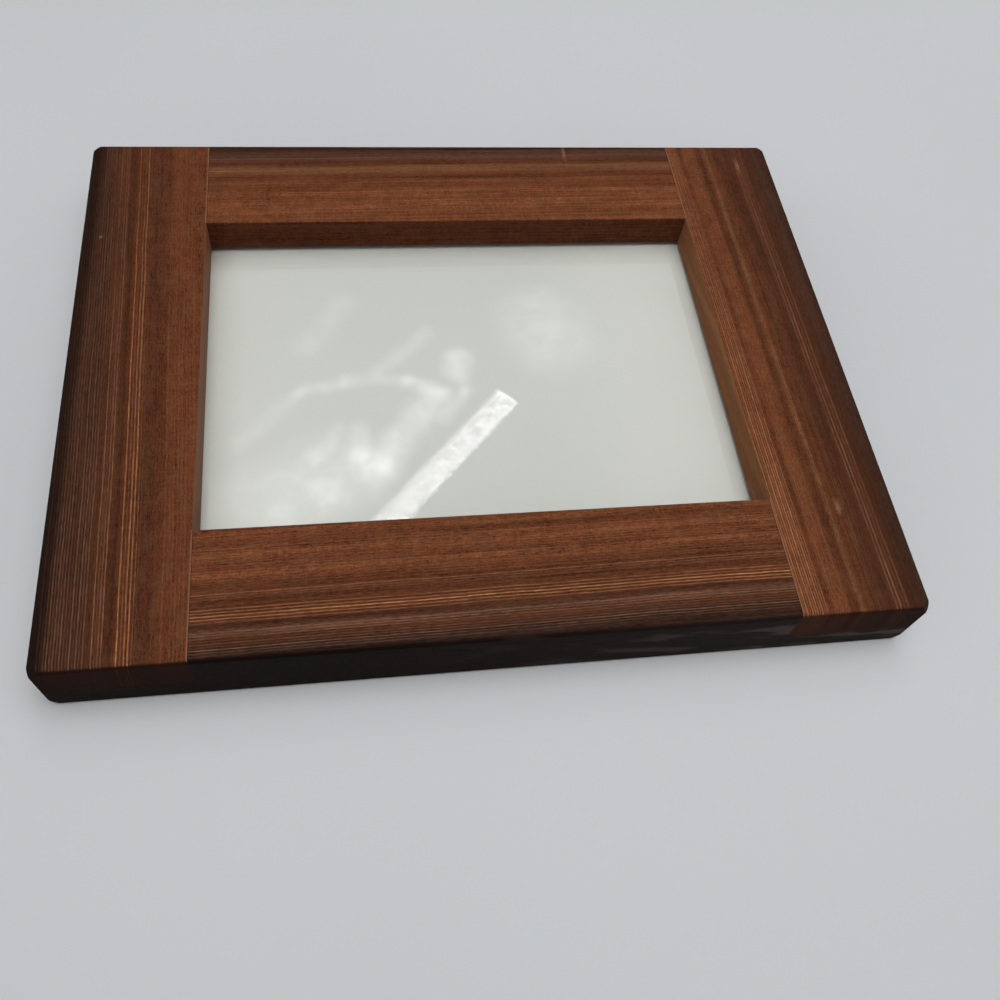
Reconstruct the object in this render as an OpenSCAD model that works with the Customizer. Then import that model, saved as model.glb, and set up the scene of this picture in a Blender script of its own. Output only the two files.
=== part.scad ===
// Wooden picture frame: four solid wood members with half-lapped corners and a rebate, plain glass, and a
// back held in by four turn buttons. It lies on its back: X runs along the rails, Y up the picture from the
// bottom rail to the top rail, and Z from the back, at Z = 0, to the face. The origin is at the middle.

/* [Frame] */
// Width of the frame, along the rails
frame_w = 248; // [200:1:500]
// Height of the frame, along the stiles
frame_h = 196; // [170:0.5:400]
// Thickness of the frame, from its back to its face
frame_t = 24; // [22:0.1:32]
// Width of each stile
stile_w = 39.7; // [36:0.1:60]
// Width of each rail
rail_w = 38.9; // [36:0.1:50]
// Radius of the four upright edges at the outer corners
corner_r = 0.8; // [0.6:0.1:1.6]
// Radius of the eased edge round the face
face_edge_r = 1.8; // [0.4:0.1:2.2]
// Radius of the eased edge round the back
back_edge_r = 1.6; // [0.4:0.1:2.2]
// Radius of the eased edge round the sight opening
sight_edge_r = 0.5; // [0.2:0.1:1.5]
// Radius of the ball that the tips of the corners are sanded to
tip_r = 8; // [8:0.5:12]
// Depth of that sanding, from where the sharp tip would be
tip_cut = 2; // [1.2:0.1:2]

/* [Half laps and rebate] */
// Height of the lap above the back: the rails run on below it and the stiles above it
lap_z = 10; // [7:0.5:14]
// Depth from the face down to the glass
sight_depth = 11.5; // [9:0.1:12.5]
// Width of the lip that the glass lies against
lip_w = 5.3; // [3:0.1:8]

/* [Glass and boards] */
// Thickness of the glass
glass_t = 2; // [1.5:0.1:3]
// Thickness of the print
print_t = 0.3; // [0.2:0.05:0.5]
// Thickness of the backing board
board_t = 3.2; // [2:0.1:5]
// Depth of the backing board below the back of the frame
board_inset = 3.6; // [3.1:0.1:5]
// Gap round the glass, the print and the boards
pane_gap = 0.75; // [0.3:0.05:1.5]

/* [Turn buttons] */
// Distance of a button from the middle of its rail
button_x = 55; // [48:1:70]
// Distance of a button's pivot from the rebate
button_set = 8.5; // [7:0.5:10]
// Length of a button from its pivot to its tip
button_reach = 15.5; // [13:0.5:16.5]
// Width of a button round its pivot
button_w = 10; // [8:0.5:14]
// Width of a button at its tip
tip_w = 6; // [4:0.5:8]
// Thickness of a button
button_t = 1.2; // [0.8:0.1:1.6]
// Gap between a button and the backing board
button_lift = 0.2; // [0.1:0.1:0.4]
// Diameter of the round recess that a button turns in
recess_d = 35; // [34:0.5:42]

/* [Button screws] */
// Diameter of a screw's shank
screw_d = 3; // [2.4:0.1:3.6]
// Length of a screw under its head
screw_l = 14; // [8:1:18]
// Length of a screw's point
screw_point = 4; // [2:0.5:6]
// Diameter of a screw's head
head_d = 6.4; // [5:0.2:8]
// Height of a screw's head
head_h = 1.5; // [1:0.1:1.9]
// Width of the slot in a screw's head
slot_w = 0.9; // [0.6:0.1:1.4]
// Depth of the slot in a screw's head
slot_depth = 0.7; // [0.3:0.1:0.9]
// Gap round a shank in the button and the wood, and under its head
shank_gap = 0.05; // [0.02:0.01:0.1]

/* [Hanger] */
// Length of the sawtooth hanger
hanger_l = 46; // [40:1:54]
// Height of the hanger, from its plain edge to the tips of its teeth
hanger_h = 9; // [7:0.5:11]
// Thickness of the hanger
hanger_t = 0.8; // [0.5:0.1:1.2]
// Distance of the hanger from the top edge of the frame
hanger_set = 9; // [7:0.5:12]
// Length of the plain ear at each end of the hanger
ear_l = 8; // [6:0.5:10]
// Number of teeth
tooth_count = 11; // [5:2:15]
// Depth of the teeth
tooth_depth = 1.7; // [1:0.1:2.5]
// Depth of the pocket behind the teeth
pocket_depth = 6; // [4.5:0.5:9]
// Room in the pocket below the teeth, for the head of a nail in the wall
pocket_room = 6; // [5:0.5:8]
// Gap between the hanger's edges and the wood
hanger_gap = 0.4; // [0.2:0.1:1]

/* [Hanger nails] */
// Diameter of a nail's shank
nail_d = 1.6; // [1.2:0.1:2]
// Length of a nail under its head
nail_l = 12; // [8:1:16]
// Length of a nail's point
nail_point = 2; // [1:0.5:3]
// Diameter of a nail's head
nail_head_d = 3.4; // [2.6:0.1:4.4]
// Height of a nail's head
nail_head_h = 0.8; // [0.5:0.1:1.2]
// Depth of the nails' heads below the back of the frame
nail_inset = 0.3; // [0.1:0.1:0.6]

/* [Hidden] */
$fn = 64;
// How far a cut runs past the wood
spare = 1;
// Straight steps in each round end of a turn button
arc_steps = 24;
// Share of a screw head's height that its rounded crown takes
crown_share = 0.6;
// Radius of the hanger pocket's corners
pocket_r = 3;
sight_w = frame_w - 2 * stile_w;
sight_h = frame_h - 2 * rail_w;
rebate_w = sight_w + 2 * lip_w;
rebate_h = sight_h + 2 * lip_w;
rebate_z = frame_t - sight_depth;
pane_w = rebate_w - 2 * pane_gap;
pane_h = rebate_h - 2 * pane_gap;
// The stack behind the lip: the filler takes up what the glass, the print and the board leave
glass_z = rebate_z - glass_t;
print_z = glass_z - print_t;
filler_z = board_inset + board_t;
filler_t = print_z - filler_z;
// The buttons turn on the floor of their recesses, clear of the board
recess_depth = board_inset - button_lift;
button_z = recess_depth - button_t;
head_z = button_z - shank_gap;
button_y = rebate_h / 2 + button_set;
// The hanger lies on a ledge, with its teeth over the deeper pocket
ledge_depth = nail_inset + nail_head_h + hanger_t;
hanger_top = frame_h / 2 - hanger_set;
hanger_bottom = hanger_top - hanger_h;
tooth_l = hanger_l - 2 * ear_l;
nail_x = (hanger_l - ear_l) / 2;
nail_y = hanger_top - (hanger_h - tooth_depth) / 2;

// A flat rectangle with rounded corners
module rounded_plate(w, h, r) {
    square([w - 2 * r, h], center = true);
    square([w, h - 2 * r], center = true);
    for (x = [-1, 1], y = [-1, 1])
        translate([x * (w / 2 - r), y * (h / 2 - r)]) circle(r);
}

// Section of the wood that an eased edge loses, with the sharp edge at its origin
module edge_section(r) {
    difference() {
        translate([-r, -r]) square(r + spare);
        translate([-r, -r]) circle(r);
    }
}

// What eased edges of radius r take off all round, with the sharp edges at Z = 0
module outline_edge(r) {
    for (turn = [0, 180]) rotate(turn) {
        side_edge(r, frame_w, frame_h / 2);
        rotate(90) side_edge(r, frame_h, frame_w / 2);
    }
}

// The same along one side of that length, which lies half_width from the middle
module side_edge(r, length, half_width) {
    translate([-length / 2 - spare, half_width, 0]) rotate([90, 0, 90])
        linear_extrude(length + 2 * spare) edge_section(r);
}

// What the sanding takes off a tip at the origin, with the wood below, left of and in front of it
module tip() {
    inset = (tip_r + tip_cut) / sqrt(3);
    translate([-inset, -inset, -inset]) difference() {
        cube(inset + spare);
        sphere(tip_r);
    }
}

// The same at all eight tips
module tips() {
    for (left = [0, 1], near = [0, 1]) mirror([left, 0, 0]) mirror([0, near, 0])
        translate([frame_w / 2, frame_h / 2, 0]) {
            translate([0, 0, frame_t]) tip();
            mirror([0, 0, 1]) tip();
        }
}

// What the eased edge takes off one side of the sight opening, mitred into the next sides
module sight_side(length, half_width) {
    reach = sight_edge_r + spare;
    intersection() {
        translate([-length / 2 - reach, half_width, frame_t]) rotate([90, 0, 90])
            linear_extrude(length + 2 * reach) mirror([1, 0]) edge_section(sight_edge_r);
        translate([0, half_width, frame_t - sight_edge_r]) linear_extrude(reach) polygon([
            [-length / 2 + spare, -spare], [length / 2 - spare, -spare],
            [length / 2 + reach, reach], [-length / 2 - reach, reach]]);
    }
}

// A member's wood, cut from the block that it is given: outline, eased edges, sanded tips and the rebate
module shaped() {
    difference() {
        intersection() {
            linear_extrude(frame_t) rounded_plate(frame_w, frame_h, corner_r);
            children();
        }
        translate([-rebate_w / 2, -rebate_h / 2, -spare]) cube([rebate_w, rebate_h, rebate_z + spare]);
        translate([0, 0, frame_t]) outline_edge(face_edge_r);
        mirror([0, 0, 1]) outline_edge(back_edge_r);
        tips();
        for (turn = [0, 180]) rotate(turn) {
            sight_side(sight_w, sight_h / 2);
            rotate(90) sight_side(sight_h, sight_w / 2);
        }
    }
}

// A stile: full height above the lap, and between the rails below it
module stile() {
    shaped() translate([-frame_w / 2, 0, 0]) {
        translate([0, -frame_h / 2, lap_z]) cube([stile_w, frame_h, frame_t - lap_z]);
        translate([0, -sight_h / 2, 0]) cube([stile_w, sight_h, frame_t]);
    }
}

// A rail: full width below the lap, and between the stiles above it, bored for two turn buttons
module rail() {
    difference() {
        shaped() translate([0, sight_h / 2, 0]) {
            translate([-frame_w / 2, 0, 0]) cube([frame_w, rail_w, lap_z]);
            translate([-sight_w / 2, 0, 0]) cube([sight_w, rail_w, frame_t]);
        }
        for (x = [-1, 1]) translate([x * button_x, button_y, 0]) {
            translate([0, 0, -spare]) cylinder(r = recess_d / 2, h = recess_depth + spare);
            translate([0, 0, head_z]) pointed_shank(screw_d / 2 + shank_gap, screw_l + shank_gap, screw_point);
        }
    }
}

// The pocket, the ledge and the nail holes for the hanger
module hanger_seat() {
    pocket_h = hanger_h + pocket_room;
    ledge_l = hanger_l + 2 * hanger_gap;
    ledge_h = hanger_h + 2 * hanger_gap;
    translate([0, hanger_top + hanger_gap - pocket_h / 2, -spare])
        linear_extrude(pocket_depth + spare) rounded_plate(tooth_l, pocket_h, pocket_r);
    translate([-ledge_l / 2, hanger_bottom - hanger_gap, -spare]) cube([ledge_l, ledge_h, ledge_depth + spare]);
    for (x = [-1, 1]) translate([x * nail_x, nail_y, ledge_depth - hanger_t])
        pointed_shank(nail_d / 2 + shank_gap, nail_l + shank_gap, nail_point);
}

// A round shank from the origin up to its point
module pointed_shank(r, length, point) {
    cylinder(r = r, h = length - point);
    translate([0, 0, length - point]) cylinder(r1 = r, r2 = 0, h = point);
}

module left_stile() {
    color("#5b3023") stile();
}

module right_stile() {
    color("#6b3826") mirror([1, 0, 0]) stile();
}

module top_rail() {
    color("#633324") difference() {
        rail();
        hanger_seat();
    }
}

module bottom_rail() {
    color("#4f2a20") rotate(180) rail();
}

// A sheet that fills the rebate, from height z
module sheet(z, thickness) {
    translate([-pane_w / 2, -pane_h / 2, z]) cube([pane_w, pane_h, thickness]);
}

module glass_pane() {
    color("#c8cbc5", 0.35) sheet(glass_z, glass_t);
}

module print_sheet() {
    color("#eceae4") sheet(print_z, print_t);
}

module filler_board() {
    color("#cdbfa3") sheet(filler_z, filler_t);
}

module backing_board() {
    color("#6e4f35") sheet(board_inset, board_t);
}

// Points of an arc about [0, y]
function arc(y, r, from, to) = [for (i = [0 : arc_steps])
    let (a = from + (to - from) * i / arc_steps) [r * cos(a), y + r * sin(a)]];

// Outline of a turn button: two round ends joined by the straight lines that touch both
module button_outline() {
    big = button_w / 2;
    small = tip_w / 2;
    span = button_reach - small;
    slope = asin((big - small) / span);
    polygon(concat(arc(0, big, -slope, 180 + slope), arc(-span, small, 180 + slope, 360 - slope)));
}

// A turn button about its pivot, with its tip towards -Y
module turn_button() {
    color("#c9a24e") difference() {
        linear_extrude(button_t) button_outline();
        translate([0, 0, -spare]) cylinder(r = screw_d / 2 + shank_gap, h = button_t + 2 * spare);
    }
}

// A pan-head screw with its point up and the underside of its head at Z = 0
module button_screw() {
    color("#bf9a4c") {
        difference() {
            translate([0, 0, -head_h]) rotate_extrude() pan_section();
            translate([-head_d / 2 - spare, -slot_w / 2, -head_h - spare])
                cube([head_d + 2 * spare, slot_w, slot_depth + spare]);
        }
        pointed_shank(screw_d / 2, screw_l, screw_point);
    }
}

// Half the section of a pan head: a straight side under a rounded crown
module pan_section() {
    crown_r = head_h * crown_share;
    translate([0, crown_r]) square([head_d / 2, head_h - crown_r]);
    square([head_d / 2 - crown_r, head_h]);
    intersection() {
        translate([head_d / 2 - crown_r, crown_r]) circle(crown_r);
        translate([head_d / 2 - crown_r, 0]) square(crown_r);
    }
}

// Puts a piece at one of the four pivots, turned so that -Y is towards the board
module at_pivot(side_x, side_y, z) {
    translate([side_x * button_x, side_y * button_y, z]) rotate(side_y > 0 ? 0 : 180) children();
}

module turn_button_top_left() at_pivot(-1, 1, button_z) turn_button();
module turn_button_top_right() at_pivot(1, 1, button_z) turn_button();
module turn_button_bottom_left() at_pivot(-1, -1, button_z) turn_button();
module turn_button_bottom_right() at_pivot(1, -1, button_z) turn_button();
module button_screw_top_left() at_pivot(-1, 1, head_z) button_screw();
module button_screw_top_right() at_pivot(1, 1, head_z) button_screw();
module button_screw_bottom_left() at_pivot(-1, -1, head_z) button_screw();
module button_screw_bottom_right() at_pivot(1, -1, head_z) button_screw();

// A flat strip with teeth along its lower edge and an ear at each end, nailed to the ledge
module sawtooth_hanger() {
    root_y = hanger_bottom + tooth_depth;
    pitch = tooth_l / tooth_count;
    // Each tooth has its tip a quarter of the pitch along, and its root three quarters
    teeth = [for (i = [0 : tooth_count - 1], quarter = [1, 3])
        [-tooth_l / 2 + (i + quarter / 4) * pitch, quarter == 1 ? hanger_bottom : root_y]];
    color("#b9b6ad") translate([0, 0, ledge_depth - hanger_t]) difference() {
        linear_extrude(hanger_t) polygon(concat(
            [[-hanger_l / 2, hanger_top], [-hanger_l / 2, root_y], [-tooth_l / 2, root_y]],
            teeth,
            [[hanger_l / 2, root_y], [hanger_l / 2, hanger_top]]));
        for (x = [-1, 1]) translate([x * nail_x, nail_y, -spare])
            cylinder(r = nail_d / 2 + shank_gap, h = hanger_t + 2 * spare);
    }
}

// A flat-headed nail through one of the hanger's ears
module hanger_nail(side) {
    color("#a9a69e") translate([side * nail_x, nail_y, nail_inset]) {
        cylinder(r = nail_head_d / 2, h = nail_head_h);
        translate([0, 0, nail_head_h]) pointed_shank(nail_d / 2, nail_l, nail_point);
    }
}

module hanger_nail_left() hanger_nail(-1);
module hanger_nail_right() hanger_nail(1);

left_stile();
right_stile();
top_rail();
bottom_rail();
glass_pane();
print_sheet();
filler_board();
backing_board();
turn_button_top_left();
turn_button_top_right();
turn_button_bottom_left();
turn_button_bottom_right();
button_screw_top_left();
button_screw_top_right();
button_screw_bottom_left();
button_screw_bottom_right();
sawtooth_hanger();
hanger_nail_left();
hanger_nail_right();
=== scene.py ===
"""Looks of a small wooden picture frame: half-lapped wooden members round a pane of glass,
with a blank sheet, two boards, turn buttons and a sawtooth hanger at the back."""
import math
from types import SimpleNamespace

import bpy
from mathutils import Matrix, Vector


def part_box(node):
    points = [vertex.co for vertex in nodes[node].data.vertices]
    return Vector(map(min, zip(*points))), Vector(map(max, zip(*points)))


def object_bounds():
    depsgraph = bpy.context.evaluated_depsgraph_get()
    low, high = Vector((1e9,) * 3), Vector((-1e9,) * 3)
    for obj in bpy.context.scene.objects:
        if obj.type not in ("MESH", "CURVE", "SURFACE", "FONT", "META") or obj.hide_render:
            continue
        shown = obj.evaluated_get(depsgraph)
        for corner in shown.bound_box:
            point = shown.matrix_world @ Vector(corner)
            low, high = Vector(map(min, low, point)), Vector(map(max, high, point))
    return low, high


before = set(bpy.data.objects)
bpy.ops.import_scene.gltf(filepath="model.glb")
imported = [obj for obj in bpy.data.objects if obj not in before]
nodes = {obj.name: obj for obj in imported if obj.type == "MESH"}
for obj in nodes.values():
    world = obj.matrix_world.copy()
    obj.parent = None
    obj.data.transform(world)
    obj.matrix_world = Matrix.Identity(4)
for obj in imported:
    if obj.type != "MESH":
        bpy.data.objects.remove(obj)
cad_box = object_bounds()

MM = 0.001

# Sizes read from the frame, in millimetres
LOW, HIGH = (corner / MM for corner in cad_box)
SIGHT_LOW = Vector((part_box("left_stile")[1].x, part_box("bottom_rail")[1].y)) / MM
THICK = HIGH.z


# Colours are written as they look on a screen, from 0 to 255
def shade(red, green, blue):
    def linear(level):
        level /= 255
        return level / 12.92 if level <= 0.04045 else ((level + 0.055) / 1.055) ** 2.4
    return linear(red), linear(green), linear(blue), 1.0


class Graph:
    """A short way to write the nodes of one material, lamp or world."""

    def __init__(self, owner):
        owner.use_nodes = True
        self.owner = owner
        self.tree = owner.node_tree
        self.tree.nodes.clear()

    def add(self, kind, inputs=None, **settings):
        node = self.tree.nodes.new(kind)
        for name, value in settings.items():
            setattr(node, name, value)
        for name, value in (inputs or {}).items():
            self.put(value, node.inputs[name])
        return node

    def put(self, value, socket):
        if isinstance(value, bpy.types.NodeSocket):
            self.tree.links.new(value, socket)
        else:
            socket.default_value = value

    def math(self, operation, first, second=0.0, third=0.0):
        inputs = {0: first, 1: second, 2: third}
        return self.add("ShaderNodeMath", inputs, operation=operation).outputs[0]

    def total(self, first, *others):
        for other in others:
            first = self.math("ADD", first, other)
        return first

    def product(self, first, *others):
        for other in others:
            first = self.math("MULTIPLY", first, other)
        return first

    def spread(self, value, low, high, to_low=0.0, to_high=1.0):
        """Value eased from one range to another, and held at its ends."""
        inputs = {0: value, 1: low, 2: high, 3: to_low, 4: to_high}
        return self.add("ShaderNodeMapRange", inputs, interpolation_type="SMOOTHSTEP").outputs[0]

    def vector_math(self, operation, first, second):
        inputs = {0: first, 1: second}
        return self.add("ShaderNodeVectorMath", inputs, operation=operation).outputs

    def point(self, operation, first, second):
        """A point worked out from two others."""
        return self.vector_math(operation, first, second)[0]

    def measure(self, operation, first, second=(0, 0, 0)):
        """A length, a distance or a dot product."""
        return self.vector_math(operation, first, second)[1]

    def vector(self, x=0.0, y=0.0, z=0.0):
        return self.add("ShaderNodeCombineXYZ", {0: x, 1: y, 2: z}).outputs[0]

    def split(self, vector):
        return self.add("ShaderNodeSeparateXYZ", {0: vector}).outputs

    def object_place(self):
        return self.add("ShaderNodeTexCoord").outputs["Object"]

    def noise(self, vector, scale=1.0, detail=2.0, roughness=0.5, distortion=0.0):
        inputs = {"Vector": vector, "Scale": scale, "Detail": detail,
                  "Roughness": roughness, "Distortion": distortion}
        return self.add("ShaderNodeTexNoise", inputs).outputs[0]

    def ramp(self, value, stops):
        """Colours or grey levels at places along a value, held at both ends."""
        low = stops[0][0]
        reach = stops[-1][0] - low
        share = self.math("DIVIDE", self.math("SUBTRACT", value, low), reach)
        node = self.add("ShaderNodeValToRGB", {0: share})
        ramp = node.color_ramp
        for _ in stops[2:]:
            ramp.elements.new(0.5)
        for element, (place, level) in zip(ramp.elements, stops):
            element.position = (place - low) / reach
            element.color = level if isinstance(level, tuple) else (level, level, level, 1.0)
        return node.outputs[0]

    def mix(self, factor, first, second, blend="MIX"):
        node = self.add("ShaderNodeMix", data_type="RGBA", blend_type=blend)
        sockets = (node.inputs[0], node.inputs[6], node.inputs[7])
        for socket, value in zip(sockets, (factor, first, second)):
            self.put(value, socket)
        return node.outputs[2]

    def bump(self, height, distance, strength=1.0):
        inputs = {"Height": height, "Distance": distance, "Strength": strength}
        return self.add("ShaderNodeBump", inputs).outputs[0]

    def surface(self, inputs):
        shader = self.add("ShaderNodeBsdfPrincipled", inputs).outputs[0]
        return self.show(shader)

    def show(self, shader, kind="ShaderNodeOutputMaterial"):
        self.add(kind, {0: shader})
        return self.owner


def material(name):
    return Graph(bpy.data.materials.new(name))


def wear(piece, made):
    """Gives a piece one material in all its slots."""
    if not piece.data.materials:
        piece.data.materials.append(made)
    for place in range(len(piece.data.materials)):
        piece.data.materials[place] = made


# Wood
# Every member is cut from the same kind of board: dark and finely lined outside, redder and plain inside.
PALE = shade(180, 134, 104)
GOLD = shade(180, 126, 84)
TAN = shade(104, 68, 45)
TAWNY = shade(112, 67, 42)
SIENNA = shade(103, 60, 37)
RUST = shade(95, 54, 33)
CHESTNUT = shade(86, 49, 31)
EMBER = shade(82, 44, 25)
COCOA = shade(77, 45, 30)
EARTH = shade(69, 41, 27)
# MOLE and DRAB are greyer browns; on the top rail and the right stile's outer band they are partly a painted
# haze of reflection
MOLE = shade(68, 46, 36)
DRAB = shade(86, 57, 44)
UMBER = shade(60, 37, 27)
BARK = shade(50, 34, 27)
SOOT = shade(20, 13, 11)
RED = shade(104, 50, 33)
WALL_SHADE = shade(38, 14, 12)
END_TONE = shade(32, 17, 13)
PAINTED_SHEEN = shade(76, 64, 59)

# How the members differ. Lengths are in millimetres.
# "across" measures inwards from the outer edge, "along" from one end: axis, where it starts, its direction.
# "drift" is how far the rings move away from the outer edge for each millimetre along the board.
# "seed" is where the board's noises start.
# "tone" holds ring places and colours. A ring place is its distance across where the board starts.
# "lines" holds bands of pale lines: ring place of the first, their spacing, count and strength.
# "grows" is how strong the lines are at the board's start and end.
# "streaks" and "fibre" are the strengths of its broad streaks and of its short fibres.
# "edge" is painted shade along the outer edge, where it turns away from the light: how far in it is fully
# dark, where that ends, and its strength at start and end.
# "wall" is painted light and shade on the inner wall: how much of it there is, and its colour.
# "haze" is a painted sheen on the outer side, a reflection in soft clouds: its strength at the board's start
# and end.
# "end" is how much darker the end grain is, partly from its finish and partly as painted shade.
# "marks" holds small pale dents: place across and along, half the width, half the length.
MEMBERS = {
    "left_stile": {
        "across": (0, LOW.x, 1), "along": (1, HIGH.y, -1), "drift": 0.0285, "seed": 3.0,
        "tone": [
            (-6, BARK), (0, UMBER), (6.5, UMBER), (9, EARTH), (11, COCOA), (13.2, COCOA), (13.8, EARTH),
            (15.2, EARTH), (16, EMBER), (20.2, EMBER), (20.8, COCOA), (22, COCOA), (24, COCOA),
            (26, CHESTNUT), (29, RUST), (31, RUST), (39.7, RUST),
        ],
        "lines": [
            (-2.6, 0.78, 16, 0.2), (10.4, 0.8, 4, 0.28), (16.6, 0.95, 4, 0.62), (20.4, 0.7, 2, 0.2),
            (27.5, 1.1, 10, 0.08),
        ],
        "grows": (0.38, 1.0), "streaks": 0.12, "fibre": 0.24,
        "edge": (2.2, 6.5, 0.72, 0.72), "wall": (0.22, PALE), "haze": (0.2, 0.24), "end": 0.92,
        "marks": [(6.2, 44.9, 0.6, 0.8)],
    },
    "right_stile": {
        "across": (0, HIGH.x, -1), "along": (1, HIGH.y, -1), "drift": -0.016, "seed": 11.0,
        "tone": [
            (0, BARK), (2.5, UMBER), (5, MOLE), (9.5, EARTH), (11, COCOA), (14.6, COCOA), (15.8, EARTH),
            (17, EARTH), (19, COCOA), (20.8, COCOA), (22, CHESTNUT), (23.4, CHESTNUT), (24.9, TAN),
            (26.2, CHESTNUT), (27.8, COCOA), (29.2, SIENNA), (33, SIENNA), (34.6, CHESTNUT),
            (35.8, SIENNA), (37.3, SIENNA), (42, SIENNA),
        ],
        "lines": [
            (10.75, 1.15, 4, 0.3), (17.9, 0.8, 4, 0.09), (24.5, 0.85, 2, 0.18), (29.3, 0.8, 6, 0.1),
            (35.6, 0.75, 12, 0.5),
        ],
        "grows": (0.3, 1.0), "streaks": 0.09, "fibre": 0.22,
        "edge": (2.0, 13.0, 0.05, 0.3), "wall": (0.28, GOLD), "haze": (0.2, 0.24), "end": 0.8,
        "marks": [(13.2, 11.5, 0.8, 3.6), (18.8, 161.3, 1.1, 2.6)],
    },
    "bottom_rail": {
        "across": (1, LOW.y, 1), "along": (0, SIGHT_LOW.x, 1), "drift": 0.014, "seed": 23.0,
        "tone": [
            (-3, BARK), (2.6, BARK), (4.4, EARTH), (6, COCOA), (7, DRAB), (8.2, DRAB), (9.1, EARTH),
            (10.1, EARTH), (10.6, EMBER), (14.5, EMBER), (15.4, CHESTNUT), (16.6, COCOA), (18, CHESTNUT),
            (21.5, CHESTNUT), (23, SIENNA), (24.5, TAWNY), (26, RUST), (28.5, SIENNA), (29.7, TAWNY),
            (31, SIENNA), (33, RUST), (34, CHESTNUT), (35, SIENNA), (38.9, SIENNA),
        ],
        "lines": [(1.2, 0.8, 9, 0.27), (10.5, 0.95, 5, 0.78), (17.2, 0.75, 3, 0.25), (20.2, 0.85, 20, 0.1)],
        "grows": (0.88, 1.08), "streaks": 0.21, "fibre": 0.33,
        "edge": (0.4, 2.2, 0.4, 0.1), "wall": (0.0, WALL_SHADE), "haze": (-0.15, 1.0), "end": 0.92,
        "marks": [],
    },
    "top_rail": {
        "across": (1, HIGH.y, -1), "along": (0, SIGHT_LOW.x, 1), "drift": -0.015, "seed": 37.0,
        "tone": [
            (0, UMBER), (3.6, UMBER), (5.5, MOLE), (7.8, DRAB), (9.8, COCOA), (11.4, CHESTNUT), (13, TAN),
            (14.6, TAN), (16.5, RUST), (18.2, CHESTNUT), (20.4, SIENNA), (22.4, RUST), (23.8, SIENNA),
            (26, TAWNY), (28.8, SIENNA), (30, TAWNY), (32.2, TAWNY), (34.4, TAWNY), (36.4, SIENNA),
            (43, TAWNY),
        ],
        "lines": [(5, 0.9, 5, 0.07), (12.4, 0.8, 4, 0.1), (19.5, 0.9, 4, 0.07), (25.2, 0.9, 3, 0.09)],
        "grows": (1.0, 0.9), "streaks": 0.2, "fibre": 0.22,
        "edge": (1.0, 3.5, 0.25, 0.25), "wall": (0.5, WALL_SHADE), "haze": (0.26, 0.2), "end": 0.92,
        "marks": [(4.0, 128.6, 4.6, 0.6)],
    },
}

# Noises in every board, each from -1 to 1: what is added to the seed, the size of its spots along and
# across the grain in millimetres, the noise levels that become -1 and 1, its detail, and whether it follows
# the rings
NOISES = {
    "wander": (0.0, 80, 60, 0.3, 0.7, 1, False),
    "wobble": (0.5, 14, 10, 0.3, 0.7, 2, False),
    "line_fade": (2.0, 35, 1.1, 0.3, 0.65, 3, True),
    "line_dash": (2.5, 2.6, 0.5, 0.3, 0.7, 2, True),
    "fibre": (3.0, 2.4, 0.32, 0.3, 0.7, 3, True),
    "fleck": (4.0, 0.7, 0.45, 0.3, 0.7, 2, False),
    "rays": (5.0, 1.0, 4.0, 0.45, 0.75, 2, False),
    "patch": (6.0, 30, 4.0, 0.3, 0.7, 3, True),
    "mottle": (7.0, 6, 5, 0.3, 0.7, 3, False),
    "streak": (8.0, 60, 0.8, 0.3, 0.7, 2, True),
    "warmth": (9.0, 12, 3.0, 0.3, 0.7, 2, True),
    "cloud": (10.0, 22, 5, 0.4, 0.7, 3, False),
}

# How far the rings lean with depth, and how far they wander along the board, in millimetres
RING_LEAN = 0.10
WANDER = 0.22
WOBBLE = 0.08
# How much each noise lightens and darkens the wood, and how much it reddens it or turns it brown
PATCH = 0.08
MOTTLE = 0.11
FLECK = 0.19
RAYS = 0.12
WARMTH = 0.22
# How far from a pale line's middle it ends and how far it is full, as shares of the spacing
LINE_END = 0.31
LINE_FULL = 0.06
# How deep below the face the half lap lies, and how strongly joints, the painted highlight beside them and
# dents show
LAP_DEPTH = 14.0
GLUE = 0.6
JOINT_HIGHLIGHT = 0.22
DENTS = 0.3
# How much of the outer sides' colour is painted near black, partly painted shade and partly their finish, and
# how the varnish shines
SIDE_SHADE_AND_FINISH = 0.96
VARNISH_ROUGHNESS = (0.34, 0.46)
END_ROUGHER = 0.12
VARNISH_SPECULAR = 0.008
GRAIN_RELIEF = 0.03 * MM


def figure(g, board, at, name):
    """One of the wood's noises, stretched along the grain."""
    shift, step_along, step_across, low, high, detail, on_rings = NOISES[name]
    across = at.rings if on_rings else at.across
    below = g.total(g.product(at.depth, 1 / step_across), board["seed"] + shift)
    stretched = g.vector(g.product(at.along, 1 / step_along), g.product(across, 1 / step_across), below)
    return g.spread(g.noise(stretched, detail=detail), low, high, -1.0, 1.0)


def board_place(g, board):
    """Where a point of the board lies, in millimetres, and which way its surface faces there."""
    texture = g.add("ShaderNodeTexCoord").outputs
    place = [g.product(value, 1 / MM) for value in g.split(texture["Object"])]
    normal = g.split(texture["Normal"])
    side, outer, inward = board["across"]
    run, start, onward = board["along"]
    at = SimpleNamespace(place=place, side=side, length=(HIGH - LOW)[run])
    at.across = g.product(g.math("SUBTRACT", place[side], outer), inward)
    at.along = g.product(g.math("SUBTRACT", place[run], start), onward)
    at.depth = g.math("SUBTRACT", THICK, place[2])
    at.facing_in = g.product(normal[side], inward)
    at.on_end = g.spread(g.math("ABSOLUTE", normal[run]), 0.55, 0.85)
    at.rings = g.total(
        at.across,
        g.product(at.along, -board["drift"]),
        g.product(at.depth, RING_LEAN),
        g.product(figure(g, board, at, "wander"), WANDER),
        g.product(figure(g, board, at, "wobble"), WOBBLE),
    )
    return at


def from_start_to_end(g, at, levels):
    return g.spread(at.along, 0.0, at.length, *levels)


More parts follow.
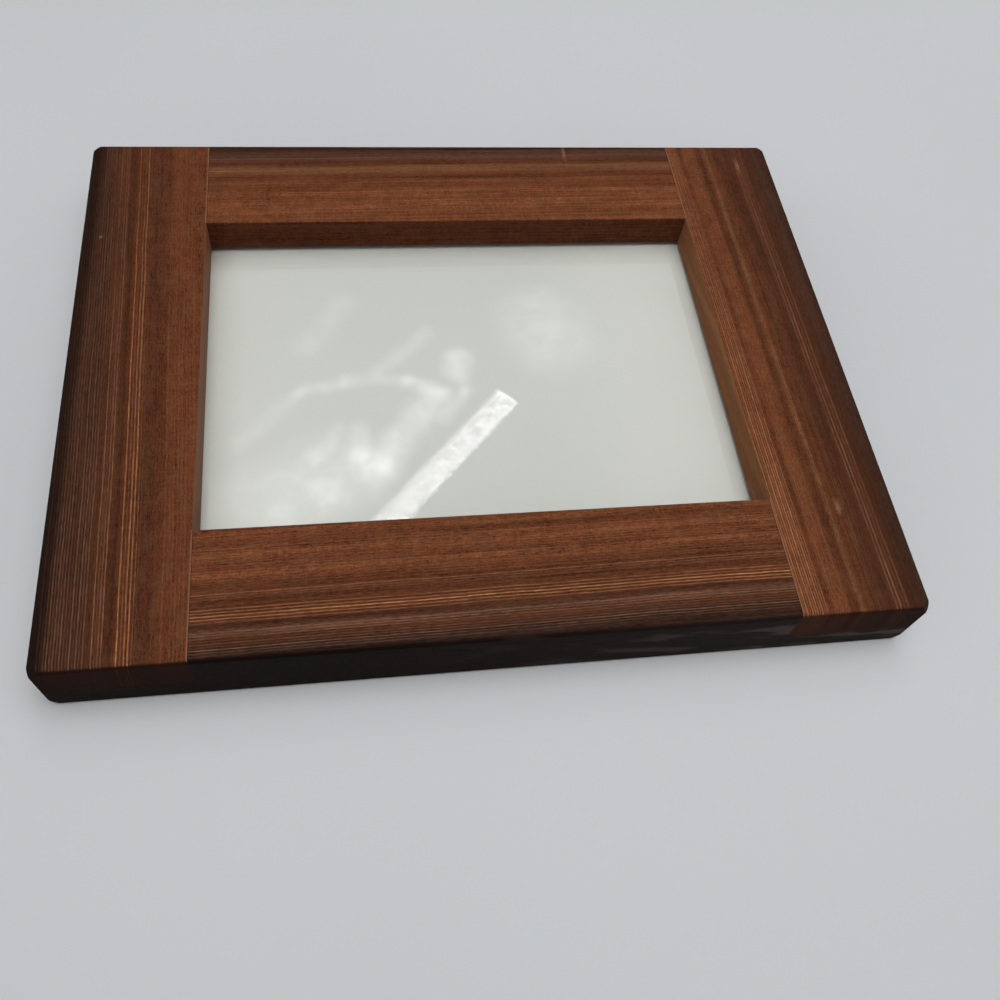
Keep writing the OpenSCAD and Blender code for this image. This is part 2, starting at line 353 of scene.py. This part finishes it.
def pale_lines(g, board, at):
    """Strength of the pale lines between the rings, band by band."""
    bands = []
    for first, gap, count, strength in board["lines"]:
        number = g.product(g.math("SUBTRACT", at.rings, first), 1 / gap)
        nearest = g.math("ROUND", number)
        off = g.math("ABSOLUTE", g.math("SUBTRACT", number, nearest))
        inside = g.math("COMPARE", number, (count - 1) / 2, count / 2)
        label = {"W": g.total(nearest, board["seed"])}
        chance = g.add("ShaderNodeTexWhiteNoise", label, noise_dimensions="1D").outputs[0]
        own = g.spread(chance, 0.0, 1.0, 0.3, 1.15)
        bands.append(g.product(g.spread(off, LINE_END, LINE_FULL), own, inside, strength))
    return g.product(
        g.total(*bands),
        g.spread(figure(g, board, at, "line_fade"), -1.0, 1.0, 0.55, 1.0),
        g.spread(figure(g, board, at, "line_dash"), -1.0, 1.0, 0.55, 1.25),
        from_start_to_end(g, at, board["grows"]),
    )


def spots(g, at, places):
    """Soft-edged ovals: each has its middle, across and along, half its width and half its length."""
    seen = [0.0]
    for middle_across, middle_along, half_width, half_length in places:
        off = g.vector(
            g.product(g.math("SUBTRACT", at.across, middle_across), 1 / half_width),
            g.product(g.math("SUBTRACT", at.along, middle_along), 1 / half_length),
        )
        ragged = g.noise(g.vector(at.across, at.along), 1.3, detail=2)
        reach = g.total(g.measure("LENGTH", off), g.product(ragged, 1.6))
        seen.append(g.spread(reach, 2.3, 0.6))
    return g.total(*seen)


def seam(g, at):
    """The dark glue line at a member's ends, and a painted highlight along a stile's edge beside a rail.
    The rails end between the stiles on the face, the stiles between the rails' tongues on the back."""
    past_sight = [g.math("ADD", g.math("ABSOLUTE", at.place[axis]), SIGHT_LOW[axis]) for axis in (0, 1)]
    past_end = past_sight[1 - at.side]
    glue = g.product(g.spread(past_end, -0.35, -0.05), g.spread(past_end, 0.7, 0.2))
    if at.side == 1:
        return g.product(glue, g.math("LESS_THAN", at.depth, LAP_DEPTH)), 0.0
    on_face = g.math("LESS_THAN", at.depth, 1.0)
    # Painted highlight: a pale line on a stile's face beside a rail, where the joint's edge would catch the
    # light
    beside_rail = g.math("GREATER_THAN", past_sight[1], 0.0)
    joint_highlight = g.product(beside_rail, g.spread(past_sight[0], 0.6, 0.2), on_face)
    return g.product(glue, g.math("GREATER_THAN", at.depth, LAP_DEPTH)), joint_highlight


def wood_colour(g, board, at, fibre, fleck):
    """The rings' colours, with slow patches, streaks along them, short fibres and the rays' cross figure."""
    # The plain wood further in shows more of it than the lined wood outside
    plain = g.spread(at.across, 10.0, 26.0, 0.35, 1.0)
    light = g.total(
        1.0,
        g.product(figure(g, board, at, "patch"), PATCH),
        g.product(figure(g, board, at, "mottle"), plain, MOTTLE),
        g.product(figure(g, board, at, "streak"), board["streaks"]),
        g.product(fibre, board["fibre"]),
        g.product(fleck, plain, FLECK),
        g.product(figure(g, board, at, "rays"), plain, RAYS),
    )
    body = g.mix(1.0, g.ramp(at.rings, board["tone"]), g.vector(light, light, light), "MULTIPLY")
    warmth = figure(g, board, at, "warmth")
    for full_at, colour in ((1.0, RED), (-1.0, TAN)):
        share = g.spread(warmth, 0.0, full_at, 0.0, WARMTH)
        body = g.mix(g.product(share, plain), body, colour)
    return body


def with_details(g, board, at, body, lines):
    """Adds the pale lines, the joints' glue and the painted highlight beside them, and the dents in the face.
    """
    body = g.mix(lines, body, g.mix(g.spread(lines, 0.12, 0.45), PALE, GOLD))
    glue, joint_highlight = seam(g, at)
    body = g.mix(g.product(glue, GLUE), body, SOOT)
    # Painted highlight beside the joints
    body = g.mix(g.product(joint_highlight, JOINT_HIGHLIGHT), body, PALE)
    dents = g.product(spots(g, at, board["marks"]), g.spread(at.depth, 1.2, 0.6))
    return g.mix(g.product(dents, DENTS), body, PALE)


def with_shade_and_finish(g, board, at, body):
    """Paints shade on the outer edge and light and shade on the inner walls, and darkens the sides and ends,
    partly as painted shade and partly for their darker finish, with a painted sheen on the outer sides.
    """
    # Painted shade along the outer edge, where the rounded edge turns away from the light
    first, last, *strengths = board["edge"]
    edge_shade = g.product(g.spread(at.across, first, last, 1.0, 0.0), from_start_to_end(g, at, strengths))
    body = g.mix(edge_shade, body, SOOT)
    # Painted light and shade on the inner walls: paler where a wall faces the light, darker where it faces
    # away
    share, wall_painted_light = board["wall"]
    body = g.mix(g.product(g.spread(at.facing_in, 0.5, 0.9), share), body, wall_painted_light)
    # The outer sides are painted near black, partly painted shade of sides facing away from the light and
    # partly their dark finish; the clouds on them are a painted sheen, a reflection
    cloud = g.spread(figure(g, board, at, "cloud"), -0.5, 0.8, 0.15, 1.0)
    haze = g.product(cloud, from_start_to_end(g, at, board["haze"]))
    outer = g.mix(haze, SOOT, PAINTED_SHEEN)
    body = g.mix(g.product(g.spread(at.facing_in, -0.35, -0.85), SIDE_SHADE_AND_FINISH), body, outer)
    # Darker end grain, partly its finish and partly painted shade
    return g.mix(g.product(at.on_end, board["end"]), body, END_TONE)


def wood(name, board):
    """A member's wood: growth rings that run its length and stand nearly upright in its thickness."""
    g = material(name)
    at = board_place(g, board)
    fibre = figure(g, board, at, "fibre")
    fleck = figure(g, board, at, "fleck")
    lines = pale_lines(g, board, at)
    body = wood_colour(g, board, at, fibre, fleck)
    body = with_details(g, board, at, body, lines)
    body = with_shade_and_finish(g, board, at, body)
    gloss = g.total(g.spread(fibre, -1.0, 1.0, *VARNISH_ROUGHNESS), g.product(at.on_end, END_ROUGHER))
    height = g.total(g.product(fibre, 0.5), g.product(fleck, 0.2), g.product(lines, -0.3))
    return g.surface({
        "Base Color": body, "Roughness": gloss, "Specular IOR Level": VARNISH_SPECULAR,
        "Normal": g.bump(height, GRAIN_RELIEF, 0.6),
    })


# Glass
# One face with this index mirrors as much as the two faces of a pane do
BOTH_FACES_IOR = 1.9
GLASS_TINT = shade(253, 254, 253)
GLASS_ROUGHNESS = 0.02
GLASS_WAVES = 18.0
GLASS_RELIEF = 0.03 * MM


def clear_glass():
    """Clear glass with mirror images in its upper face, which is very slightly wavy."""
    g = material("clear_glass")
    through = g.add("ShaderNodeBsdfTransparent", {0: GLASS_TINT}).outputs[0]
    wave = g.noise(g.object_place(), GLASS_WAVES, detail=1)
    mirror = g.add("ShaderNodeBsdfAnisotropic", {
        "Color": (1, 1, 1, 1), "Roughness": GLASS_ROUGHNESS, "Normal": g.bump(wave, GLASS_RELIEF, 0.5),
    }).outputs[0]
    front = g.math("SUBTRACT", 1.0, g.add("ShaderNodeNewGeometry").outputs["Backfacing"])
    share = g.product(g.add("ShaderNodeFresnel", {"IOR": BOTH_FACES_IOR}).outputs[0], front)
    shader = g.add("ShaderNodeMixShader", {0: share, 1: through, 2: mirror}).outputs[0]
    return g.show(shader)


# Sheet
PAPER = shade(218, 218, 213)
PAPER_SHADED_MIDDLE = shade(212, 212, 208)
PAPER_BROWN_AND_SHADE = shade(95, 80, 60)
# How much of the darker middle the sheet has, by the place across it in millimetres. The darker middle is
# painted shade, for the dimmer reflection the glass shows there.
PAPER_SHARES = [(-78, 0.0), (-52, 0.7), (-30, 1.0), (20, 1.0), (36, 0.7), (52, 0.2), (70, 0.0)]
# Painted shade that the opening's left and back walls cast on the sheet, tinted brown: how far it reaches
# from those sides, in millimetres, and how much, with what is added where both meet
SHEET_SHADE_WIDTHS = (12, 14)
SHEET_SHADE_LEFT = 0.18
SHEET_SHADE_BACK = 0.12
SHEET_SHADE_CORNER = 0.16
PAPER_SWELL = 1.2 * MM
PAPER_TOOTH = 0.004


def blank_paper():
    g = material("blank_paper")
    place = g.object_place()
    x, y, _ = (g.product(value, 1 / MM) for value in g.split(place))
    # Painted shade: the sheet is darker along its middle, where the glass mirrors less light
    colour = g.mix(g.ramp(x, PAPER_SHARES), PAPER, PAPER_SHADED_MIDDLE)
    cloud = g.noise(place, 14.0, detail=2)
    colour = g.mix(g.spread(cloud, 0.3, 0.7, 0.0, 0.02), colour, PAPER_BROWN_AND_SHADE)
    # Painted shade of the opening's left and back walls, tinted brown like light thrown off the wood
    at_left = g.spread(x, SIGHT_LOW.x + SHEET_SHADE_WIDTHS[0], SIGHT_LOW.x - 1)
    at_back = g.spread(y, -SIGHT_LOW.y - SHEET_SHADE_WIDTHS[1], -SIGHT_LOW.y + 1)
    sheet_shade = g.total(
        g.product(at_left, SHEET_SHADE_LEFT),
        g.product(at_back, SHEET_SHADE_BACK),
        g.product(at_left, at_back, SHEET_SHADE_CORNER),
    )
    colour = g.mix(sheet_shade, colour, PAPER_BROWN_AND_SHADE)
    swell = g.noise(place, 26.0, detail=1, distortion=1.2)
    tooth = g.noise(place, 900.0, detail=3)
    height = g.total(swell, g.product(tooth, PAPER_TOOTH))
    return g.surface({
        "Base Color": colour, "Roughness": 0.6, "Coat Weight": 0.2, "Coat Roughness": 0.08,
        "Normal": g.bump(height, PAPER_SWELL, 0.6),
    })


# Boards behind the sheet: material, pale and dark colour, and how fine its fibres are
BOARDS = {
    "filler_board": ("grey_card", shade(176, 168, 152), shade(150, 141, 126), 700.0),
    "backing_board": ("hardboard", shade(126, 91, 62), shade(90, 61, 41), 900.0),
}
BOARD_RELIEF = 0.08 * MM


def pressed_board(name, pale, dark, fineness):
    g = material(name)
    place = g.object_place()
    fibre = g.noise(place, fineness, detail=6, roughness=0.8)
    cloud = g.noise(place, 30.0, detail=3)
    colour = g.mix(g.spread(g.total(fibre, g.product(cloud, 0.15)), 0.35, 0.8), dark, pale)
    rough = g.spread(cloud, 0.2, 0.8, 0.55, 0.75)
    return g.surface({
        "Base Color": colour, "Roughness": rough, "Specular IOR Level": 0.3,
        "Normal": g.bump(fibre, BOARD_RELIEF, 0.6),
    })


# Metal pieces by the start of their names: material, clean and stained colour, how fine the brushing is along
# each axis, and roughness
METALS = {
    "turn_button": ("rolled_brass", shade(214, 176, 104), shade(176, 136, 74), (900, 5000, 900), 0.28),
    "button_screw": ("turned_brass", shade(206, 166, 96), shade(160, 122, 66), (3000, 3000, 3000), 0.3),
    "sawtooth_hanger": ("zinc_plate", shade(190, 194, 196), shade(150, 156, 162), (900, 5000, 900), 0.34),
    "hanger_nail": ("nail_steel", shade(180, 182, 184), shade(132, 134, 138), (3000, 3000, 3000), 0.36),
}
METAL_RELIEF = 0.02 * MM


def brushed_metal(name, clean, stained, fineness, roughness):
    g = material(name)
    place = g.object_place()
    drawn = g.add("ShaderNodeMapping", {"Vector": place, "Scale": fineness}).outputs[0]
    brush = g.noise(drawn, 1.0, detail=4, roughness=0.7)
    stain = g.noise(place, 260.0, detail=4, roughness=0.6)
    colour = g.mix(g.spread(stain, 0.35, 0.75), clean, stained)
    rough = g.total(g.spread(brush, 0.2, 0.8, roughness - 0.07, roughness + 0.09), g.product(stain, 0.08))
    height = g.total(brush, g.product(stain, 0.5))
    return g.surface({
        "Base Color": colour, "Metallic": 1.0, "Roughness": rough,
        "Normal": g.bump(height, METAL_RELIEF, 0.7),
    })


def dress():
    for name, board in MEMBERS.items():
        wear(nodes[name], wood(name + "_wood", board))
    wear(nodes["glass_pane"], clear_glass())
    wear(nodes["print_sheet"], blank_paper())
    for name, looks in BOARDS.items():
        wear(nodes[name], pressed_board(*looks))
    for start, looks in METALS.items():
        metal = brushed_metal(*looks)
        for name, node in nodes.items():
            if name.startswith(start):
                wear(node, metal)


# Camera: its place in millimetres, its turns in radians, and the picture's width in pixels
CAMERA_PLACE = Vector((-38.92, -194.19, 265.75)) * MM
CAMERA_YAW, CAMERA_PITCH, CAMERA_ROLL = -0.2881, 0.5417, 0.1963
LENS = 34.746
SENSOR = 36.0
PICTURE = 1000


def add_object(name, data):
    holder = bpy.data.objects.new(name, data)
    bpy.context.scene.collection.objects.link(holder)
    return holder


def add_camera():
    camera = bpy.data.cameras.new("camera")
    camera.lens = LENS
    camera.sensor_width = SENSOR
    camera.clip_start = 0.01
    holder = add_object("camera", camera)
    turn = Matrix.Rotation(CAMERA_YAW, 4, "Z") @ Matrix.Rotation(CAMERA_PITCH, 4, "X")
    turn = turn @ Matrix.Rotation(CAMERA_ROLL, 4, "Z")
    holder.matrix_world = Matrix.Translation(CAMERA_PLACE) @ turn
    bpy.context.scene.camera = holder
    return holder.matrix_world.copy()


# Floor, in metres
FLOOR_SIZE = 12.0
DAYLIGHT = shade(252, 253, 255)
FLOOR_DARK = shade(191, 193, 195)
FLOOR_PALE = shade(195, 197, 199)
FLOOR_FAR = shade(252, 253, 254)
BLACK = (0, 0, 0, 1)
# How brightly the floor glows by its distance from the frame
FLOOR_GLOW = [(0.6, 0.0), (1.8, 0.09), (3.4, 0.16), (4.9, 0.24), (7.8, 0.29)]
DIM_IN_FRONT = 0.04
DIM_AT_LEFT = 0.025


def pale_floor():
    g = material("pale_floor")
    place = g.object_place()
    cloud = g.noise(place, 3.0, detail=2)
    colour = g.mix(g.spread(cloud, 0.3, 0.7), FLOOR_DARK, FLOOR_PALE)
    # Painted shade: a little dimmer in front of the frame and to its left
    x, y, _ = g.split(place)
    in_front = g.product(g.spread(y, -0.11, -0.19), DIM_IN_FRONT)
    at_left = g.product(g.spread(x, -0.06, -0.16), DIM_AT_LEFT)
    colour = g.mix(g.total(in_front, at_left), colour, BLACK)
    # Far away, where less light falls on it, it is paler and shows as bright as the wall of the room.
    # That glow is only seen: it doesn't light the frame.
    away = g.measure("LENGTH", place)
    colour = g.mix(g.spread(away, 0.4, 2.4), colour, FLOOR_FAR)
    rays = g.add("ShaderNodeLightPath").outputs
    seen = g.total(rays["Is Camera Ray"], rays["Is Glossy Ray"], rays["Is Transmission Ray"])
    glow = g.product(g.ramp(away, FLOOR_GLOW), g.math("MINIMUM", seen, 1.0))
    return g.surface({
        "Base Color": colour, "Roughness": 0.9, "Specular IOR Level": 0.0,
        "Emission Color": DAYLIGHT, "Emission Strength": glow,
    })


def add_floor():
    half = FLOOR_SIZE / 2
    corners = [(-half, -half, 0), (half, -half, 0), (half, half, 0), (-half, half, 0)]
    mesh = bpy.data.meshes.new("floor")
    mesh.from_pydata(corners, [], [(0, 1, 2, 3)])
    floor = add_object("floor", mesh)
    wear(floor, pale_floor())


# Lamps: place, width and length in metres, power in watts, and whether they show in mirror images.
# The ceiling's mirror image would turn the glass plain white for someone looking straight down.
LAMPS = {
    "ceiling_lamp": ((0.10, -0.10, 1.6), (1.3, 1.1), 20.0, False),
    "right_lamp": ((2.2, 0.7, 1.5), (1.0, 1.0), 1.0, True),
    "left_lamp": ((-2.2, 0.7, 1.5), (1.0, 1.0), 2.0, True),
}
FRAME_FOOT = Vector((0, 0, 0))

# Things overhead that the glass mirrors: how high they hang, and how wide a pixel of the picture is up there,
# in metres. Their places and widths are in pixels of the picture.
OVERHEAD = 1.1
PIXEL_OVERHEAD = 0.00183

# The strip is a row of small bright lamps
STRIP_ENDS = ((367, 545), (499, 405))
STRIP_WIDTH = 29
STRIP_LEVEL = 20.0
STRIP_LAMPS = 20
# Sparkles across the strip and along each lamp, and the light in the dark and bright ones
SPARKS_ACROSS = 5.5
SPARKS_ALONG = 1.8
SPARK_LIGHT = (0.34, 1.08)

# The glints are soft pale strokes: both ends, how far each reaches sideways, and its light
GLINT_FIELD = ((205, 290), (600, 290), (205, 540), (600, 540))
GLINTS = {
    "arch_rise": ((238, 445), (296, 396), 13, 0.55),
    "arch_shoulder": ((302, 391), (342, 383), 12, 0.85),
    "arch_top": ((345, 381), (408, 381), 11, 0.85),
    "arch_end": ((408, 382), (441, 391), 14, 1.2),
    "arch_leg": ((433, 398), (380, 466), 24, 1.3),
    "leg_streak": ((414, 410), (396, 432), 10, 0.5),
    "knot": ((457, 360), (457, 368), 22, 1.66),
    "knot_neck": ((460, 376), (466, 390), 14, 0.62),
    "knot_tail": ((464, 392), (443, 419), 12, 0.78),
    "low_patch": ((363, 464), (382, 471), 24, 1.2),
    "low_spot": ((328, 488), (331, 498), 24, 0.7),
    "low_cloud": ((292, 494), (348, 474), 62, 1.15),
    "cloud_rim": ((296, 474), (310, 457), 14, 0.6),
    "inner_peak": ((360, 428), (360, 454), 15, 0.75),
    "second_peak": ((338, 428), (318, 458), 12, 0.6),
    "upper_streak": ((427, 334), (376, 374), 13, 0.62),
    "far_streak": ((343, 303), (308, 348), 20, 0.42),
    "far_cloud": ((538, 318), (548, 338), 64, 0.83),
    "left_haze": ((235, 506), (290, 516), 60, 0.42),
}
# How far the strokes waver sideways, and over what length, in metres
GLINT_WAVER = 0.022
GLINT_WAVE = 0.05


def seen_in_glass(view, pixel):
    """The place overhead whose mirror image in the glass falls on a pixel of the picture."""
    focal = LENS / SENSOR * PICTURE
    ray = view.to_3x3() @ Vector((pixel[0] - PICTURE / 2, PICTURE / 2 - pixel[1], -focal))
    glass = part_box("glass_pane")[1].z
    start = view.translation
    hit = start + ray * ((glass - start.z) / ray.z)
    ray.z = -ray.z
    return hit + ray * ((OVERHEAD - glass) / ray.z)


def add_lamp(name, place, size, power):
    """A lamp that looks straight down."""
    lamp = bpy.data.lights.new(name, "AREA")
    lamp.shape = "RECTANGLE"
    lamp.size, lamp.size_y = size
    lamp.energy = power
    holder = add_object(name, lamp)
    holder.matrix_world = Matrix.Translation(place)
    return holder


def give_light(g, level):
    shader = g.add("ShaderNodeEmission", {"Strength": level}).outputs[0]
    g.show(shader, "ShaderNodeOutputLight")


def add_room_lamps():
    for name, (place, size, power, mirrored) in LAMPS.items():
        place = Vector(place)
        lamp = add_lamp(name, place, size, power)
        aim = (FRAME_FOOT - place).to_track_quat("-Z", "Y").to_matrix().to_4x4()
        lamp.matrix_world = Matrix.Translation(place) @ aim
        lamp.visible_glossy = mirrored


def strip_light(g, across, along):
    """Soft on the left, with one bulge for each lamp on the right, and sparkling inside."""
    bulge = g.math("ABSOLUTE", g.math("SINE", g.product(along, math.pi * STRIP_LAMPS)))
    past_edge = g.math("SUBTRACT", across, g.total(0.84, g.product(bulge, 0.12)))
    body = g.product(g.spread(across, -0.02, 0.27), g.spread(past_edge, 0.04, -0.04))
    # The glass mirrors less light at the near end, where it is seen more steeply
    gain = g.spread(along, 0.2, 0.95, 1.25, 0.78)
    cells = g.vector(g.product(across, SPARKS_ACROSS), g.product(along, SPARKS_ALONG * STRIP_LAMPS))
    spark = g.noise(cells, 1.0, detail=0)
    return g.product(body, gain, g.spread(spark, 0.38, 0.6, *SPARK_LIGHT))


def add_strip(view):
    first, last = (seen_in_glass(view, end) for end in STRIP_ENDS)
    middle, run = (first + last) / 2, last - first
    width = STRIP_WIDTH * PIXEL_OVERHEAD
    size = (width, run.length + width)
    lamp = add_lamp("strip_lamp", middle, size, math.pi * size[0] * size[1] * STRIP_LEVEL)
    # A lamp that looks straight down has its length along Y
    turn = Matrix.Rotation(math.atan2(run.y, run.x) - math.pi / 2, 4, "Z")
    lamp.matrix_world = Matrix.Translation(middle) @ turn
    beside = (STRIP_ENDS[0][0] + STRIP_WIDTH, STRIP_ENDS[0][1])
    right = seen_in_glass(view, beside) - first
    right = (right - right.project(run)).normalized()
    g = Graph(lamp.data)
    place = g.point("SUBTRACT", g.add("ShaderNodeNewGeometry").outputs["Position"], middle)
    across = g.total(g.product(g.measure("DOT_PRODUCT", place, right), 1 / width), 0.5)
    along = g.total(g.product(g.measure("DOT_PRODUCT", place, run.normalized()), 1 / run.length), 0.5)
    give_light(g, strip_light(g, across, along))


def stroke_light(g, view, place, stroke):
    """The light of one stroke: full on the line between its ends, and gone at its reach."""
    first, last, width, level = stroke
    first, last = seen_in_glass(view, first), seen_in_glass(view, last)
    run = last - first
    start = g.point("SUBTRACT", place, first)
    share = g.product(g.measure("DOT_PRODUCT", start, run), 1 / run.length_squared)
    share = g.math("MINIMUM", g.math("MAXIMUM", share, 0.0), 1.0)
    nearest = g.point("MULTIPLY", g.vector(share, share, share), run)
    reach = g.measure("DISTANCE", start, nearest)
    return g.spread(reach, width * PIXEL_OVERHEAD, 0.0, 0.0, level)


def add_glints(view):
    """One lamp whose light is all the strokes, as a crumpled bright thing overhead would look."""
    corners = [seen_in_glass(view, pixel) for pixel in GLINT_FIELD]
    low = Vector([min(corner[axis] for corner in corners) for axis in range(3)])
    high = Vector([max(corner[axis] for corner in corners) for axis in range(3)])
    size = high - low
    lamp = add_lamp("glint_lamp", (low + high) / 2, (size.x, size.y), math.pi * size.x * size.y)
    g = Graph(lamp.data)
    place = g.add("ShaderNodeNewGeometry").outputs["Position"]
    waves = {"Vector": place, "Scale": 1 / GLINT_WAVE, "Detail": 2.0}
    waver = g.point("SUBTRACT", g.add("ShaderNodeTexNoise", waves).outputs[1], (0.5, 0.5, 0.5))
    place = g.point("ADD", place, g.point("MULTIPLY", waver, (GLINT_WAVER, GLINT_WAVER, 0)))
    strokes = g.total(*[stroke_light(g, view, place, stroke) for stroke in GLINTS.values()])
    mottle = g.spread(g.noise(place, 1.3 / GLINT_WAVE, detail=3), 0.3, 0.7, 0.65, 1.25)
    give_light(g, g.product(strokes, mottle))


# Brightness of the room by the height of the direction, from 0 at the horizon to 1 straight up
ROOM_LEVELS = [(0, 0.62), (0.12, 0.60), (0.35, 0.45), (1, 0.45)]
BACK_DIMMER = 0.7


def add_room():
    world = bpy.data.worlds.new("room")
    bpy.context.scene.world = world
    g = Graph(world)
    _, back, up = g.split(g.add("ShaderNodeTexCoord").outputs["Generated"])
    climb = g.math("ABSOLUTE", up)
    # The ceiling behind the frame is dim, so that it adds no haze to the finish
    behind = g.product(g.spread(back, -0.15, 0.35), g.spread(climb, 0.25, 0.55))
    dimmed = g.math("SUBTRACT", 1.0, g.product(behind, BACK_DIMMER))
    level = g.product(g.ramp(climb, ROOM_LEVELS), dimmed)
    colour = g.mix(1.0, level, DAYLIGHT, "MULTIPLY")
    shader = g.add("ShaderNodeBackground", {"Color": colour, "Strength": 1.0}).outputs[0]
    g.show(shader, "ShaderNodeOutputWorld")


dress()
view_from = add_camera()
add_floor()
add_room()
add_room_lamps()
add_strip(view_from)
add_glints(view_from)
bpy.context.scene.view_settings.view_transform = "Standard"
